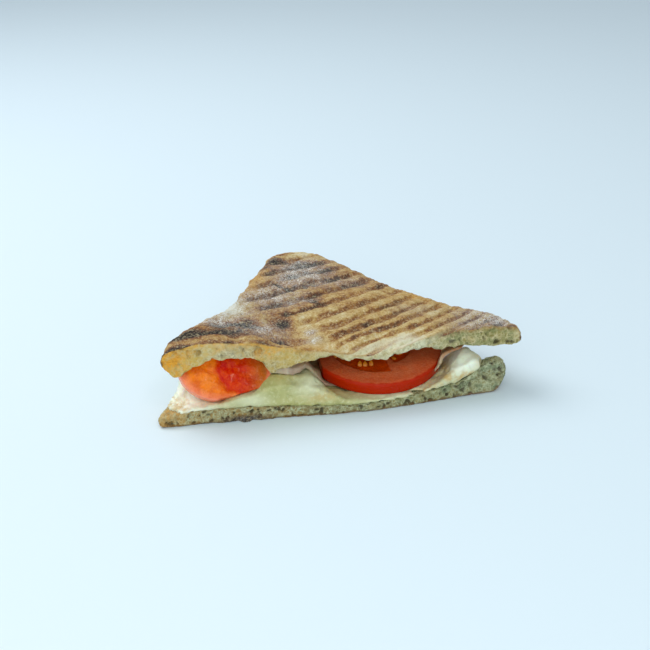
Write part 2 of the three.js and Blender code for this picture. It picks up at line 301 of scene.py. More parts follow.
# %% Upper slice: flakes, dents and a blister
flakes = lumps(points, 5.5, 3) * 0.5 + lumps(points, 2.4, 7) * 0.25 + lumps(points, 1.3, 9) * 0.2
flakes *= 1 + blobs(x, y, [(-35, 45, 38, 45, 1.1), (5, 112, 22, 30, 0.6), (85, 10, 16, 14, 0.6)])
dents = blobs(x, y, [
    (-39, 30, 11, 4, 2.2), (-15, 34, 4, 6, 1.8), (-22, 12, 8, 4, 1.4), (-54, 16, 12, 4, 1.2),
    (6, 58, 4, 4, 1.2), (12, 121, 9, 4, 1.2), (-26, 35, 4, 7, -1.0), (-44, 44, 12, 5, -1.2),
    (-60, 25, 10, 4, -1.0), (-3, 131, 5, 4, -1.0), (-40, 20, 16, 4, -0.8), (17, 140, 5, 6, -0.8),
])
ribs = bars * blobs(x, y, [(-14, 74, 16, 18, 0.9), (25, 110, 14, 10, -0.4), (70, 40, 20, 20, -0.25)])
blister_x, blister_y, blister_radius = 6, 94, 14.5
from_blister = np.hypot(x - blister_x, y - blister_y)
turn = np.degrees(np.arctan2(y - blister_y, x - blister_x))
rim = bump(np.abs(from_blister - blister_radius - 1.5 * lumps(points, 7, 4))) * step(-turn, 75, 95)
print("deepest dent in mm:", dents.max().round(1))

# %% [markdown]
# Each layer moves the skin along its own direction, as a sculpting brush does. Crust and crumb
# take turns by their masks. Small pores open all over the crumb, large ones where the knife cut.

# %% Upper slice: pores, and how far the skin moves
large = pores(points, 4.2, 2.3, 0.48) * step(cut_face, 0.3, 0.8) * (1 - bump((x - 20) / 24))
small = pores(points, 2.4, 5.1, 0.55) * crumb
move = crust * (flakes * (1.15 - 0.4 * bars) - 0.7 * groove - ribs - dents - 1.6 * rim)
move += crust * 1.3 * near_rim * pressed * marked
move += crumb * (0.5 * lumps(points, 3.5, 12) - 0.2) - 1.5 * large - 0.7 * small
print("deepest relief in mm:", abs(move).max().round(2))

# %% [markdown]
# The knife tore the crumb more than it cut it, so the lower edge, the hem, is ragged, and a
# chunk of crumb hangs down over the ham. The hem's height is known at places along the cut.
# What lies near it moves up and down with noise, and sags where the crumb hangs.

# %% Upper slice: the torn hem
hem_along = [-82, -75, -70, -63, -53, -46, -32, -26, -14, -8, 2, 14, 23, 28, 33, 37, 54, 71, 80, 89, 104]
hem_height = [
    31, 29.5, 31, 35, 32.5, 34, 32.5, 30.5, 31.5, 32, 29.5, 27.3, 26.2, 25.4, 27, 28.6, 28.4, 27, 24.2,
    26, 23.4,
]
hem = np.interp(x, hem_along, hem_height)
ragged = step(-np.abs(z - hem), -3.5, -1.2) * step(8 - y, 0, 4) * (1 - 0.4 * step(x, 66, 76))
tear = np.column_stack([x, 0.3 * y, 0 * x])
torn = lumps(tear, 7, 20) + 0.22 * lumps(tear, 2.2, 22)
sag = (
    6.5 * bump((x + 27) / 4) + 4.5 * bump((x + 20) / 6) + 2.5 * bump((x + 10) / 6)
    - 1.5 * bump((x + 56) / 4) + 3.2 * bump((x + 75) / 8)
)
hanging = sag * step(-z, -hem - 5, -hem - 1) * step(14 - y, 0, 5)
points[:, 2] += 2.2 * torn * ragged - hanging
set_places(upper_slice, points + normals * move[:, None])
print("the crumb hangs down by, in mm:", hanging.max().round(1))

# %% [markdown]
# How brown the crumb is depends on how close it is to the crust, so each point looks for its
# nearest crust point with a search tree. Flour and burnt spots are blobs, placed where this
# slice has them, and the front edge of the crust is scorched in places.

# %% Upper slice: flour and burnt spots
skin_depth = distance_to(points, (crumb < 0.5) & (z > crust_height(x, y) - 6))
flour = blobs(x, y, [
    (7, 100, 13, 15, 1.0), (-16, 72, 15, 17, 0.75), (-42, 47, 14, 8, 0.7), (-36, 66, 7, 14, 0.8),
    (-50, 37, 9, 7, 0.7), (80, 8, 12, 9, 0.7), (95, 12, 6, 12, 1.0), (84, 26, 10, 12, 0.5),
    (-3, 19, 3, 3, 0.9), (-4, 10, 4, 4, 0.8), (-28, 24, 12, 10, 0.55), (0, 62, 6, 5, 0.8),
    (30, 86, 12, 10, 0.35), (12, 120, 16, 14, 0.45), (55, 34, 10, 8, 0.3),
])
burnt = blobs(x, y, [
    (-39, 30, 12, 6, 1.1), (-15, 34, 5, 7, 0.9), (12, 121, 9, 6, 0.75), (-3, 131, 6, 5, 0.6),
    (23, 106, 5, 7, 0.5), (-70, 17, 8, 6, 1.2), (-52, 15, 14, 5, 1.1), (-20, 12, 9, 5, 0.6),
    (6, 58, 4, 4, 0.9), (3, 98, 3, 2.5, 0.9), (-9, 118, 4, 5, 0.4), (91, 6, 6, 5, 0.5),
    (-45, 26, 26, 14, 0.38), (-20, 60, 22, 30, 0.22), (8, 104, 22, 22, 0.25), (30, 80, 30, 20, 0.18),
]) + 0.9 * rim + 0.35 * bump((y - lip_front) / 2)
edge_scorch = np.clip(0.45 + 1.6 * lumps(points, 8, 24), 0, 1) + blobs(x, y, [(-72, 8, 10, 10, 0.6)])
burnt += 0.55 * edge_scorch * bump((y - lip_front - 2) / 3) * step(-x, 10, 22)
print("mean depth under the crust in mm:", skin_depth[crumb > 0.5].mean().round(2))

# %% [markdown]
# Pale dough shows where the press didn't touch, golden patches where oil fried the crust, and
# amber ones where juice soaked into the crumb. On the crumb at the lip the pale mask is painted
# light, which brightens a face that lies in shade. Ashen crumb is the grey part above the left
# tomato slice. What lies behind the cut keeps plain warm colours.

# %% Upper slice: pale, golden and amber places
pale = blobs(x, y, [
    (17, 139, 7, 9, 1.0), (-40, 62, 8, 17, 1.7), (24, 0, 26, 7, 0.95), (45, 2, 12, 9, 0.8),
    (-4, 32, 6, 9, 0.7), (66, 30, 9, 10, 0.5), (-25, 34, 4, 6, 0.9), (40, 62, 10, 8, 0.3),
    (10, 30, 16, 14, 0.3),
])
pale += 0.3 * crumb * bump((x + 50) / 11)
golden = blobs(x, y, [
    (-16, 106, 4, 8, 1.0), (-23, 91, 5, 10, 0.7), (-58, 38, 4, 8, 0.7), (62, 60, 6, 7, 0.6),
    (-6, 2, 16, 5, 0.5), (50, 46, 30, 30, 0.25),
])
soaked = [(-78, 33, 9, 9, 1.3), (-29, 35, 6, 3, 1.0), (-16, 34, 7, 6, 0.25), (-52, 39, 20, 2.2, 0.4)]
amber = blobs(x, z, soaked) * crumb + 1.3 * beneath * blobs(x, y, [(5, 22, 11, 14, 1.0)])
# The pores are painted dark as shade, more so at the right, where the crumb lies in shade.
store(
    upper_slice, crumb=crumb, flour=flour, burnt=burnt, pale=pale, golden=golden, amber=amber,
    pore=np.clip((0.45 + 0.3 * step(x, 20, 60)) * large + 0.15 * small, 0, 1),
    bars=bars * firm * (1 - 0.6 * near_rim), skin_depth=skin_depth,
    edge=1 - bump((x - 26) / 38) * 0.95, behind=step(y, 14, 40),
    ashen=blobs(x, z, [(-44, 36, 15, 5, 0.9), (-27, 27, 5, 4, 0.5)]),
)

# %% [markdown]
# ## The lower slice
# It lies on its crust, and the knife shows its crumb from end to end: tight and pressed in the
# middle, open and airy where the right corner curls up. It is made as the upper one was, with
# caves in the crumb of that corner, and a flake of crust torn off in front.

# %% Lower slice: crust or crumb
lower_slice = copy_of_node("bread_bottom", "lower_slice")
even_skin(lower_slice, 0.68, 7)
points, normals = places(lower_slice), facing(lower_slice)
x, y, z = points.T
underside = step(-normals[:, 2], 0.35, 0.75) * step(3.5 - z, 0, 1.5)
front_facing = step(-normals[:, 1], 0.5, 0.8)
outer_edge = step(-normals[:, 2], -0.75, -0.45) * (1 - front_facing) * step(y, 8, 16)
low_front = step(3.4 - z, 0, 1.6) * step(6 - y, 0, 5)
crust = np.maximum(np.maximum(underside, outer_edge), low_front * bump((x + 42) / 11))
crumb = 1 - crust
print("share of crumb:", crumb.mean().round(2))

# %% [markdown]
# The right corner baked open, so caves are pushed deep into it. At the front, low down, the torn
# flake and thin shreds stick out. The relief fades to nothing where the slice rests, so it still
# lies flat.

# %% Lower slice: pores, caves and the frayed front
curl = bump((x - 88) / 20, (y - 3) / 20)
cut_face = step(-normals[:, 1], 0.25, 0.6) * step(14 - y, 0, 4)
airy = np.maximum(cut_face, curl)
large = pores(points, 3.4, 4.2, 0.46) * cut_face * (1 - 0.5 * curl)
caves = step(pores(points, 4.6, 8.8, 0.42), 0.05, 0.6) * curl * airy
small = pores(points, 1.9, 1.3, 0.55) * crumb
move = crumb * (0.35 * lumps(points, 4.0, 31) + 0.15 * lumps(points, 1.8, 33))
move -= 1.2 * large + 2.6 * caves + 0.5 * small
move += crust * (0.15 * lumps(points, 3.0, 35)) * step(z, 0.4, 1.5)
resting = step(z, 0.2, 1.2)[:, None]
shreds = lumps(np.column_stack([x, 0 * x, 1.5 * z]), 5.5, 37)
frayed = np.clip(0.5 + 1.2 * shreds + 0.5 * lumps(points, 1.8, 38), 0, 1.6)
points[:, 1] -= 2.4 * (low_front * (bump((x + 42) / 13) + 0.12)) * frayed
set_places(lower_slice, points + normals * move[:, None] * resting)
print("deepest relief in mm:", abs(move).max().round(2))

# %% [markdown]
# The front is scorched at three places, the left tip is amber, and the curl is pale. The crumb
# near the bottom is painted darker, as shade. The crust gets a trace of flour and no bars, since it
# lies face down.

# %% Lower slice: toast
scorched = blobs(x, y, [(-55, -2, 12, 8, 0.8), (-34, -4, 9, 8, 0.9), (62, 0, 16, 8, 0.5)])
# Crumb near the bottom is painted dark as shade, through the pores' mask.
low_crumb_shade = step(2.6 - z, 0, 2) * crumb
left_tip = blobs(x, y, [(-80, 8, 12, 14, 0.8)])
store(
    lower_slice, crumb=crumb, flour=0.15 * crust, burnt=scorched - 0.35 * outer_edge,
    pale=0.2 * curl, golden=left_tip, amber=0.6 * left_tip,
    pore=np.clip(large + caves + 0.25 * small + 0.3 * low_crumb_shade, 0, 1),
    bars=0 * x, skin_depth=distance_to(points, crust > 0.5),
    edge=0.9 + 0 * x, behind=step(y, 14, 40), ashen=0 * x,
)

# %% [markdown]
# ## The melted cheese
# Cheese flows, sags between the slices and sets with a smooth, slightly greasy skin. A copy of
# the solid gets an even skin too, but is smoothed for longer and gets only slow lumps, with a
# few bubbles at the front where it boiled. Its left end is torn, and it sinks in the middle.

# %% Cheese: skin and flow
cheese = copy_of_node("cheese", "melted_cheese")
even_skin(cheese, 0.8, 14)
points, normals = places(cheese), facing(cheese)
x, y, z = points.T
front = step(26 - y, 0, 12)
bubbles = pores(points, 6.5, 6.6, 0.4) * front
seam = step(14 - y, 0, 6) * step(11 - z, 0, 4)
soft = 0.75 * lumps(points, 9, 41) + 0.3 * lumps(points, 3.6, 43)
torn_end = step(-x, 64, 74) * (1.3 * lumps(points, 3.0, 45) + 1.1 * lumps(points, 1.5, 46))
flank = blobs(x, z, [(-1, 19, 9, 7, 2.0)]) * front
move = 0.3 * front + 0.5 * seam + soft * front - 0.9 * bubbles + torn_end + flank
sunk = (2.0 * bump((x + 38) / 8) + 3.0 * bump((x + 14) / 8)) * step(z, 10, 16) * front
points[:, 2] -= sunk
set_places(cheese, points + normals * move[:, None])
print("the cheese sinks by, in mm:", sunk.max().round(1))

# %% [markdown]
# The cheese is white where it lies thick, at its left end and low down; the white at its right end
# and below the ham's fold is a painted highlight. Where fat ran out of it, it is yellow to brown.
# Tomato juice stains it pink at the left.

# %% Cheese: white, browned and pink places
store(
    cheese,
    white=blobs(x, z, [
        (-72, 13, 15, 10, 1.3), (72, 19, 13, 8, 1.2), (40, 8, 24, 4, 0.6), (-6, 16, 11, 6, 0.45),
        (-38, 10, 9, 4, 0.4),
    ]),
    browned=blobs(x, z, [
        (84, 22, 5, 8, 0.7), (75, 11.5, 10, 2.0, 1.0), (-74, 8, 6, 1.8, 0.9), (52, 6, 12, 2, 0.7),
        (-18, 21, 12, 2.5, 0.5), (-2, 10, 10, 3, 0.6), (60, 14, 7, 5, 0.8), (2, 25, 9, 6, 1.2),
    ]),
    pink=blobs(x, z, [(-66, 14.5, 5, 4, 0.55), (-58, 8, 12, 2, 0.35)]),
    behind=step(y, 14, 40),
)

# %% [markdown]
# ## The ham
# A thin cooked slice that lies in waves and folds over at the cut. It keeps its solid's shape,
# with small wrinkles along the edge. In the middle it is tucked in and drapes over the cheese,
# and at the right it is raised beside the tomato.

# %% Ham
ham = copy_of_node("ham", "ham_sheet")
even_skin(ham, 0.62, 5)
points, normals = places(ham), facing(ham)
x, y, z = points.T
wrinkles = 0.35 * lumps(points * [1, 0.5, 1], 3.2, 51) + 0.14 * lumps(points, 1.4, 53)
tucked = blobs(x, z, [(-1, 19, 8, 6, 3.5)]) * step(14 - y, 0, 8)
raised = blobs(x, z, [(67, 22, 8, 7, 1.0)]) * step(24 - y, 0, 10)
filled = blobs(x, z, [(-2, 26, 7, 5, 1.0)]) * step(22 - y, 0, 8)
draped = 3.2 * bump((x + 14) / 9) * step(12 - y, 0, 9)
points += np.column_stack([-6.5 * raised, tucked - 2.5 * filled, 2.5 * raised + 2.5 * filled - draped])
set_places(ham, points + normals * (wrinkles * step(30 - y, 0, 15))[:, None])
browned_edge = blobs(x, z, [(-4, 29, 7, 5, 1.0), (72, 22, 14, 8, 0.9), (-38, 24, 8, 6, 0.4)])
store(
    ham, browned=blobs(x, y, [(1, 30, 9, 12, 1.6)]) + browned_edge,
    cheesy=blobs(x, z, [(-1, 19, 7, 7, 1.0), (-26, 22, 5, 4, 0.7), (62, 14, 10, 6, 0.8)]),
)

# %% [markdown]
# ## Slices of tomato
# A slice shows, from the outside in, a thin glossy skin, a wall of grainy flesh and chambers of
# jelly with seeds. A cylinder is the natural start. Its edges are rounded, and its top is inset
# ring by ring, which gives faces small enough to choose a chamber from. The rings stop short of
# the tightest curve of an oval, past which they would fold over.

# %% Tomato blanks
ring_width = 1.1


def select_faces(piece, wanted):
    bpy.ops.object.mode_set(mode="EDIT")
    bpy.ops.mesh.select_mode(type="FACE")
    bpy.ops.mesh.select_all(action="DESELECT")
    bpy.ops.object.mode_set(mode="OBJECT")
    for face in piece.data.polygons:
        face.select = wanted(face.center * 1000, face.normal)
    bpy.ops.object.mode_set(mode="EDIT")


def tomato_blank(name, long, wide, thickness):
    let_go()
    bpy.ops.mesh.primitive_cylinder_add(
        vertices=96, radius=0.001, depth=thickness / 1000, location=(0, 0, -thickness / 2000)
    )
    piece = bpy.context.object
    piece.name = piece.data.name = name
    piece.scale = (long, wide, 1)
    bpy.ops.object.transform_apply(location=True, rotation=True, scale=True)
    bpy.ops.object.mode_set(mode="EDIT")
    bpy.ops.mesh.select_mode(type="EDGE")
    bpy.ops.mesh.select_all(action="SELECT")
    bpy.ops.mesh.bevel(offset=0.0013, segments=4)
    select_faces(piece, lambda centre, normal: normal.z > 0.99)
    tightest_curve = wide**2 / long
    for _ in range(int(0.85 * tightest_curve / ring_width)):
        bpy.ops.mesh.inset(thickness=ring_width / 1000)
    bpy.ops.object.mode_set(mode="OBJECT")
    return piece


# %% [markdown]
# The chosen faces are pushed down for a chamber, and a cut with Bisect takes off what the knife
# took. The finished blank is tilted about the line of the cut and laid at its place.

# %% Chambers, cuts and laying


def push_down(piece, inside, depth):
    select_faces(piece, lambda centre, normal: normal.z > 0.9 and inside(centre.x, centre.y))
    bpy.ops.mesh.extrude_region_move(TRANSFORM_OT_translate={"value": (0, 0, -depth / 1000)})
    bpy.ops.object.mode_set(mode="OBJECT")


def cut_off(piece, at, turn):
    bpy.ops.object.mode_set(mode="EDIT")
    bpy.ops.mesh.select_all(action="SELECT")
    away = Vector((-math.sin(math.radians(turn)), math.cos(math.radians(turn)), 0))
    bpy.ops.mesh.bisect(
        plane_co=Vector((*at, 0)) / 1000, plane_no=away, use_fill=True, clear_outer=True
    )
    bpy.ops.object.mode_set(mode="OBJECT")


def standing(x, y, z, tilt):
    return Matrix.Translation(in_metres(x, y, z)) @ Matrix.Rotation(math.radians(tilt), 4, "X")


def lay(piece, place):
    piece.matrix_world = standing(*place)
    pick_up(piece)
    bpy.ops.object.transform_apply(location=True, rotation=True, scale=True)


# %% [markdown]
# The round slice has four chambers between spokes of flesh, each given by the turn where it
# starts and ends and by how far out it reaches. Only the front of the slice shows, but it is
# modelled all round, because it can be seen from the right too.

# %% Round tomato slice
disc_size, disc_place = (36, 36, 7), (33, 30, 21.5, 14)
core_radius = 8.5
chambers = [(-178, -84, 24.8), (-70, -8, 19), (6, 80, 24), (95, 168, 24)]


def in_chamber(x, y):
    radius, turn = math.hypot(x, y), math.degrees(math.atan2(y, x))
    return any(start < turn < end and core_radius < radius < reach for start, end, reach in chambers)


round_tomato = tomato_blank("round_tomato", *disc_size)
push_down(round_tomato, in_chamber, 1.5)
cut_off(round_tomato, (-31.5, 0), 90)
lay(round_tomato, disc_place)
even_skin(round_tomato, 0.5, 8)

# %% [markdown]
# The oval slice stands on an edge that the knife cut and leans back, so its face turns to the
# front. One large chamber shows, with a broad wall at its left.

# %% Oval tomato slice
heel_size, heel_place = (24, 18, 8), (-44.5, -3, 10.5, 56)
heel_middle, heel_chamber = (-4.5, 20), (3, 15.5, 13, 11)


def from_middle(x, y, middle_x, middle_y, long, wide):
    return np.hypot((x - middle_x) / long, (y - middle_y) / wide)


oval_tomato = tomato_blank("oval_tomato", *heel_size)
for vertex in oval_tomato.data.vertices:
    vertex.co += Vector((*heel_middle, 0)) / 1000
push_down(oval_tomato, lambda x, y: from_middle(x, y, *heel_chamber) < 1, 0.6)
cut_off(oval_tomato, (-12, 2.7), 180 + 10)
cut_off(oval_tomato, (0, 25), 0)
lay(oval_tomato, heel_place)
even_skin(oval_tomato, 0.5, 8)

# %% [markdown]
# Each place on a slice is looked up in the slice's own plane, which tells skin, wall and jelly
# apart. The wall gets a fine grain, and the jelly swells a little. Jelly is mixed towards brown at
# the right of the oval slice and at the left of the round one.

# %% Tomato masks and grain


def own_plane(points, x, y, z, tilt):
    turned = np.array(Matrix.Rotation(math.radians(-tilt), 3, "X"))
    return ((points - [x, y, z]) @ turned.T).T


for piece, place, middle, size in (
    (round_tomato, disc_place, (0, 0), disc_size), (oval_tomato, heel_place, heel_middle, heel_size),
):
    points, normals = places(piece), facing(piece)
    u, v, w = own_plane(points, *place)
    radius = from_middle(u, v, *middle, *size[:2])
    if piece is round_tomato:
        jelly = step(-w + 0.5 * lumps(points, 4, 69), 0.4, 1.2) * step(0.93 - radius, 0, 0.06)
        dull = 0.5 * step(-u, 10, 34)
    else:
        jelly = step(1.2 - from_middle(u, v, *heel_chamber) + 0.25 * lumps(points, 5, 67), 0, 0.35)
        dull = bump((u - 17) / 9)
    skin = step(radius + 0.012 * lumps(points, 3, 68), 0.95, 0.985)
    grain = (0.16 * lumps(points, 1.5, 61) + 0.3 * lumps(points, 5, 63)) * ((1 - skin) * (1 - jelly))
    swell = 0.5 * lumps(points, 4.5, 65) * jelly
    set_places(piece, points + normals * (grain + swell)[:, None])
    store(piece, jelly=jelly, dull=dull, skin=skin, radius=radius)

# %% [markdown]
# ## Seeds
# Tomato seeds are flat teardrops, about 3 mm long, and lie in the jelly with their points to the
# middle of the fruit. One is modelled from a small sphere, flattened, with one end drawn out.

# %% The first seed
seed_radius = 0.00125
let_go()
bpy.ops.mesh.primitive_uv_sphere_add(segments=14, ring_count=9, radius=seed_radius, location=(0, 0, 0))
first_seed = bpy.context.object
first_seed.name = "tomato_seeds"
for vertex in first_seed.data.vertices:
    along = vertex.co.x / seed_radius
    vertex.co.x *= 1.35
    vertex.co.y *= 0.95 - 0.4 * along
    vertex.co.z *= 0.5 - 0.15 * along
print("seed length in mm:", round(first_seed.dimensions.x * 1000, 1))

# %% [markdown]
# The others are copies with meshes of their own. In three chambers they lie in two rings, with
# chance in their turn, place and lean. Four more stand up from the front chamber, three of them
# close together just under the lip. In the end all are joined to one piece.

# %% Seeds in the jelly
random = np.random.default_rng(11)
seeds = []


def seed_at(x, y, z, turn, rise=0.0):
    seed = first_seed.copy()
    seed.data = first_seed.data.copy()
    bpy.context.scene.collection.objects.link(seed)
    lean = Matrix.Rotation(-rise, 4, "Y") @ Matrix.Rotation(random.uniform(-0.3, 0.3), 4, "X")
    moved = Matrix.Translation(Vector((x, y, z)) / 1000)
    seed.matrix_world = standing(*disc_place) @ moved @ Matrix.Rotation(turn, 4, "Z") @ lean
    seeds.append(seed)


for start, end, reach in chambers[1:]:
    for inwards, count in ((4, 3), (9, 2)):
        for i in range(count):
            turn = math.radians(start + (i + 0.5) / count * (end - start) + random.uniform(-5, 5))
            r = reach - inwards + random.uniform(-0.8, 0.8)
            seed_at(r * math.cos(turn), r * math.sin(turn), -0.95, turn + math.pi)
for u, v in ((-11.8, -16.2), (-9.2, -16.8), (-6, -16.6), (-23, -7)):
    seed_at(u, v, -0.3, math.radians(80), 0.8)
print("seeds:", len(seeds))

# %% [markdown]
# The first seed was only a pattern, so it is removed. Joining the rest gives one piece, which
# takes one material.

# %% Seeds joined
bpy.data.objects.remove(first_seed)
let_go()
for seed in seeds:
    seed.select_set(True)
bpy.context.view_layer.objects.active = seeds[0]
bpy.ops.object.join()
tomato_seeds = bpy.context.object
tomato_seeds.name = tomato_seeds.data.name = "tomato_seeds"
bpy.ops.object.transform_apply(location=True, rotation=True, scale=True)
bpy.ops.object.shade_smooth()
print("faces of all seeds:", len(tomato_seeds.data.polygons))

# %% [markdown]
# ## Building materials in code
# A material is a small network of nodes. A few helpers keep the cells short. "wire" fills a
# node's sockets by name, with a link where it gets another node's output and a plain value
# otherwise, and "add" makes a node and wires it at once.

# %% Adding and wiring nodes


def fill(tree, socket, value):
    if isinstance(value, bpy.types.NodeSocket):
        tree.links.new(value, socket)
    elif socket.type == "RGBA":
        socket.default_value = (*value, 1)
    else:
        socket.default_value = value


def wire(tree, node, **sockets):
    for name, value in sockets.items():
        fill(tree, node.inputs[name.replace("_", " ")], value)


def add(tree, kind, settings=None, **sockets):
    made = tree.nodes.new("ShaderNode" + kind)
    for name, value in (settings or {}).items():
        setattr(made, name, value)
    wire(tree, made, **sockets)
    return made


def new_material(name):
    material = bpy.data.materials.new(name)
    material.use_nodes = True
    return material, material.node_tree, material.node_tree.nodes["Principled BSDF"]


# %% [markdown]
# The next helpers do what these materials need again and again: mixing two colours, a little
# arithmetic, fitting a value to a range, and reading a stored mask. A speckle is noise placed by
# Object coordinates, which are metres, so a scale of 1000 means a pattern one millimetre wide.

# %% Mixing, reckoning and speckles


def mix(tree, share, first, second):
    made = add(tree, "Mix", {"data_type": "RGBA"})
    for number, value in ((0, share), (6, first), (7, second)):
        fill(tree, made.inputs[number], value)
    return made.outputs[2]


def reckon(tree, how, first, second=0.0, third=0.0, clamp=False):
    made = add(tree, "Math", {"operation": how, "use_clamp": clamp})
    for socket, value in zip(made.inputs, (first, second, third)):
        fill(tree, socket, value)
    return made.outputs[0]


def ranged(tree, value, **limits):
    return add(tree, "MapRange", Value=value, **limits).outputs[0]


def speckle(tree, size, low, high, detail=3.0, rough=0.6):
    where = add(tree, "TexCoord").outputs["Object"]
    pattern = add(tree, "TexNoise", Vector=where, Scale=1000 / size, Detail=detail, Roughness=rough)
    return ranged(tree, pattern.outputs[0], From_Min=low, From_Max=high)


def mask(tree, name):
    return add(tree, "Attribute", {"attribute_name": name}).outputs["Fac"]


def patchy(tree, name, size, low, high):
    return reckon(tree, "MULTIPLY", mask(tree, name), speckle(tree, size, low, high))


def dented(tree, height, strength, distance):
    return add(tree, "Bump", Height=height, Strength=strength, Distance=distance).outputs[0]


# %% [markdown]
# ### Toasting, as a shader group
# Both slices toast by the same law: dough turns from cream to gold, brown and black as it gets
# hotter. A node group holds that law once, with the heat as its input. Fine and coarse speckles
# vary the heat, as flour and bubbles do on real crust.

# %% Toasting group


def new_group(name, inputs, outputs):
    group = bpy.data.node_groups.new(name, "ShaderNodeTree")
    for direction, sockets in (("INPUT", inputs), ("OUTPUT", outputs)):
        for socket, kind in sockets:
            group.interface.new_socket(socket, in_out=direction, socket_type="NodeSocket" + kind)
    return group, group.nodes.new("NodeGroupInput").outputs, group.nodes.new("NodeGroupOutput")


toasting, given, made = new_group("toasting", [("Heat", "Float")], [("Color", "Color"), ("Height", "Float")])
fine = speckle(toasting, 0.9, 0.36, 0.64, detail=4, rough=0.7)
coarse = speckle(toasting, 5, 0.3, 0.7, detail=5, rough=0.7)
varied = reckon(toasting, "MULTIPLY_ADD", fine, 0.24, given["Heat"])
varied = reckon(toasting, "MULTIPLY_ADD", coarse, 0.42, varied)
ramp = add(toasting, "ValToRGB", Fac=reckon(toasting, "SUBTRACT", varied, 0.33))
toast_colours = [
    (0.0, (0.82, 0.72, 0.46)), (0.2, (0.66, 0.47, 0.19)), (0.36, (0.52, 0.305, 0.095)),
    (0.52, (0.35, 0.15, 0.05)), (0.68, (0.2, 0.08, 0.035)), (0.85, (0.08, 0.042, 0.03)),
    (1.0, (0.03, 0.02, 0.016)),
]
while len(ramp.color_ramp.elements) < len(toast_colours):
    ramp.color_ramp.elements.new(0.5)
for element, (position, colour) in zip(ramp.color_ramp.elements, toast_colours):
    element.position, element.color = position, (*colour, 1)
wire(toasting, made, Color=ramp.outputs["Color"], Height=reckon(toasting, "ADD", fine, coarse))
print("toasting group:", len(toasting.nodes), "nodes")

# %% [markdown]
# ### Bread, as a shader group
# The group reads the stored masks and gives the colour and the fine relief of a whole slice, and
# each slice places it with its own heat and crumb colours. First comes the crust. The toasting
# law gets more heat in the bars and burnt spots and less where the dough is pale.

# %% Bread group: crust
crumb_sockets = ("Crumb left", "Crumb right", "Strands", "Line left", "Line right")
bread, given, made = new_group(
    "bread", [("Heat", "Float"), ("Line width", "Float")] + [(name, "Color") for name in crumb_sockets],
    [("Color", "Color"), ("Height", "Float")],
)
streaks = ranged(bread, speckle(bread, 8, 0.3, 0.7), To_Min=0.3, To_Max=0.52)
heat = reckon(bread, "MULTIPLY_ADD", mask(bread, "bars"), streaks, given["Heat"])
heat = reckon(bread, "MULTIPLY_ADD", mask(bread, "burnt"), 0.7, heat)
heat = reckon(bread, "MULTIPLY_ADD", mask(bread, "pale"), -0.3, heat)
toast = add(bread, "Group", {"node_tree": toasting}, Heat=heat)
crust = mix(bread, patchy(bread, "golden", 2.0, 0.25, 0.6), toast.outputs["Color"], (0.72, 0.38, 0.08))
# Pale speckles are painted highlights on the grains of the crust.
grain_highlight = reckon(bread, "MULTIPLY", speckle(bread, 1.3, 0.5, 0.66), 0.5)
crust = mix(bread, grain_highlight, crust, (0.82, 0.66, 0.38))
print("bread group so far:", len(bread.nodes), "nodes")

# %% [markdown]
# Flour lies on the crust in grains, thickest between the bars, on the rib tops, where its white is
# partly a painted highlight. It could be one even white film, but a real dusting leaves most of the
# crust open, so fine speckles decide where a grain lies, and the crust under it is a little greyer.
# The palest dough stays bare and turns cream.

# %% Bread group: flour in grains
grain = speckle(bread, 0.75, 0.45, 0.56, detail=4, rough=0.7)
drifts = ranged(bread, speckle(bread, 4, 0.35, 0.65, detail=4), To_Min=0.3, To_Max=1.7)
dust_and_highlight = reckon(bread, "MULTIPLY", mask(bread, "flour"), drifts, clamp=True)
dust_and_highlight = reckon(bread, "MULTIPLY", dust_and_highlight, reckon(bread, "MULTIPLY_ADD", grain, 0.92, 0.04))
between_bars = reckon(bread, "MULTIPLY_ADD", mask(bread, "bars"), -0.65, 1.0)
dust_and_highlight = reckon(bread, "MULTIPLY", dust_and_highlight, between_bars)
under_flour = reckon(bread, "MULTIPLY", mask(bread, "flour"), 0.4, clamp=True)
crust = mix(bread, under_flour, crust, (0.22, 0.19, 0.17))
# Flour's white is partly a painted highlight on the rib tops.
crust = mix(bread, dust_and_highlight, crust, (0.9, 0.88, 0.82))
bare = reckon(bread, "SUBTRACT", mask(bread, "pale"), 0.75, clamp=True)
bare = reckon(bread, "MULTIPLY", bare, speckle(bread, 2.5, 0.2, 0.55))
crust = mix(bread, bare, crust, (0.86, 0.85, 0.74))
print("bread group so far:", len(bread.nodes), "nodes")

# %% [markdown]
# Crumb is a web of pale strands. The edges between random cells, warped a little by noise, have
# just that look, and the web comes and goes. The colour under it changes from left to right.

# %% Bread group: a web of strands
where = add(bread, "TexCoord").outputs["Object"]
drift = add(bread, "TexNoise", Vector=where, Scale=500, Detail=2).outputs["Color"]
warped = add(bread, "VectorMath", {"operation": "MULTIPLY_ADD"})
for socket, value in zip(warped.inputs, (drift, (0.0022, 0.0022, 0.0022), where)):
    fill(bread, socket, value)
cells = add(bread, "TexVoronoi", {"feature": "DISTANCE_TO_EDGE"}, Vector=warped.outputs[0], Scale=1000 / 1.9)
strands = ranged(bread, cells.outputs[0], From_Min=0.02, From_Max=0.3, To_Min=1, To_Max=0)
web = ranged(bread, speckle(bread, 3, 0.35, 0.65), To_Min=0.1, To_Max=0.9)
webbed = reckon(bread, "MULTIPLY", strands, web)
along = add(bread, "SeparateXYZ", Vector=where).outputs[0]
# On the upper slice the darker right colours are painted shade under the drooping lip.
side = ranged(bread, along, From_Min=-0.05, From_Max=0.05)
crumb = mix(bread, side, given["Crumb left"], given["Crumb right"])
crumb = mix(bread, mask(bread, "behind"), crumb, (0.5, 0.38, 0.17))
crumb = mix(bread, reckon(bread, "MULTIPLY", speckle(bread, 6, 0.4, 0.6), 0.4), crumb, (0.6, 0.4, 0.12))
crumb = mix(bread, patchy(bread, "ashen", 3, 0.25, 0.55), crumb, (0.42, 0.36, 0.22))
crumb = mix(bread, webbed, crumb, given["Strands"])
print("bread group so far:", len(bread.nodes), "nodes")
